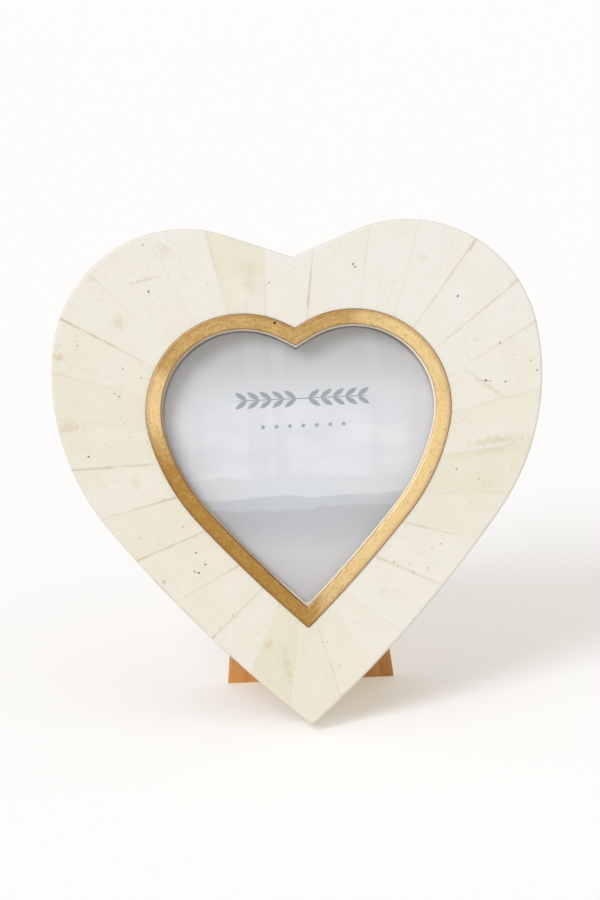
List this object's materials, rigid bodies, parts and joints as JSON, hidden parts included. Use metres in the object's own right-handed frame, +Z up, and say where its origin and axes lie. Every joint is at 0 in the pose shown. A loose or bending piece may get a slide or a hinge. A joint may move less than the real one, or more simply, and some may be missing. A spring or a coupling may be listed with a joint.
{
  "type": "heart shaped photo frame",
  "caption": "Standing heart shaped photo frame faced with bone tiles, with a brass ring round its heart shaped window and an easel leg that folds flat.",
  "frame": {"origin": "on the surface the frame stands on, below the middle of its bounding box", "axes": "+Z up, +X to the right seen from the front, the face looks towards -Y and leans back 15 degrees"},
  "size_m": [0.1308, 0.051, 0.1314],
  "materials": {
    "bone": "polished natural bone, satin",
    "board": "sealed fibreboard, stained on the back",
    "resin": "brown bedding resin, sanded",
    "ring_brass": "brushed, lightly aged",
    "pane_glass": "clear float glass",
    "card": "matt printed card",
    "stained_board": "stained fibreboard, matt",
    "stained_wood": "reddish brown stain, satin",
    "hinge_brass": "plated sheet, dulled",
    "steel": "plain steel, satin"
  },
  "bodies": {
    "frame": {"frame_core": "board", "glue_bed": "resin", "brass_ring": "ring_brass", "glass_pane": "pane_glass", "photo_insert": "card", "backing_board": "stained_board", "hinge_fixed_leaf": "hinge_brass", "hinge_pin": "steel", "fixed_leaf_rivets": "steel", "turn_button_screws": "steel", "bone_tile_01": "bone", "bone_tile_02": "bone", "bone_tile_03": "bone", "bone_tile_04": "bone", "bone_tile_05": "bone", "bone_tile_06": "bone", "bone_tile_07": "bone", "bone_tile_08": "bone", "bone_tile_09": "bone", "bone_tile_10": "bone", "bone_tile_11": "bone", "bone_tile_12": "bone", "bone_tile_13": "bone", "bone_tile_14": "bone", "bone_tile_15": "bone", "bone_tile_16": "bone", "bone_tile_17": "bone", "bone_tile_18": "bone", "bone_tile_19": "bone", "bone_tile_20": "bone", "bone_tile_21": "bone", "bone_tile_22": "bone", "bone_tile_23": "bone", "bone_tile_24": "bone", "bone_tile_25": "bone", "bone_tile_26": "bone", "bone_tile_27": "bone", "bone_tile_28": "bone", "edge_strip_01": "bone", "edge_strip_02": "bone", "edge_strip_03": "bone", "edge_strip_04": "bone", "edge_strip_05": "bone", "edge_strip_06": "bone", "edge_strip_07": "bone", "edge_strip_08": "bone", "edge_strip_09": "bone", "edge_strip_10": "bone", "edge_strip_11": "bone", "edge_strip_12": "bone", "edge_strip_13": "bone", "edge_strip_14": "bone"},
    "leg": {"easel_leg": "stained_wood", "hinge_moving_leaf": "hinge_brass", "moving_leaf_rivets": "steel"},
    "button_1": {"turn_button_1": "hinge_brass"},
    "button_2": {"turn_button_2": "hinge_brass"},
    "button_3": {"turn_button_3": "hinge_brass"},
    "button_4": {"turn_button_4": "hinge_brass"}
  },
  "joints": [
    {"name": "easel_hinge", "type": "hinge", "parent": "frame", "child": "leg", "pos_m": [0, 0.00691, 0.07783], "axis": [1, 0, 0], "range_deg": [-25, 0]},
    {"name": "turn_button_1_swivel", "type": "hinge", "parent": "frame", "child": "button_1", "pos_m": [0.03871, 0.01078, 0.09713], "axis": [0, 0.9659, -0.2588], "continuous": true},
    {"name": "turn_button_2_swivel", "type": "hinge", "parent": "frame", "child": "button_2", "pos_m": [-0.03871, 0.01078, 0.09713], "axis": [0, 0.9659, -0.2588], "continuous": true},
    {"name": "turn_button_3_swivel", "type": "hinge", "parent": "frame", "child": "button_3", "pos_m": [-0.03244, -0.00096, 0.0533], "axis": [0, 0.9659, -0.2588], "continuous": true},
    {"name": "turn_button_4_swivel", "type": "hinge", "parent": "frame", "child": "button_4", "pos_m": [0.03244, -0.00096, 0.0533], "axis": [0, 0.9659, -0.2588], "continuous": true}
  ]
}
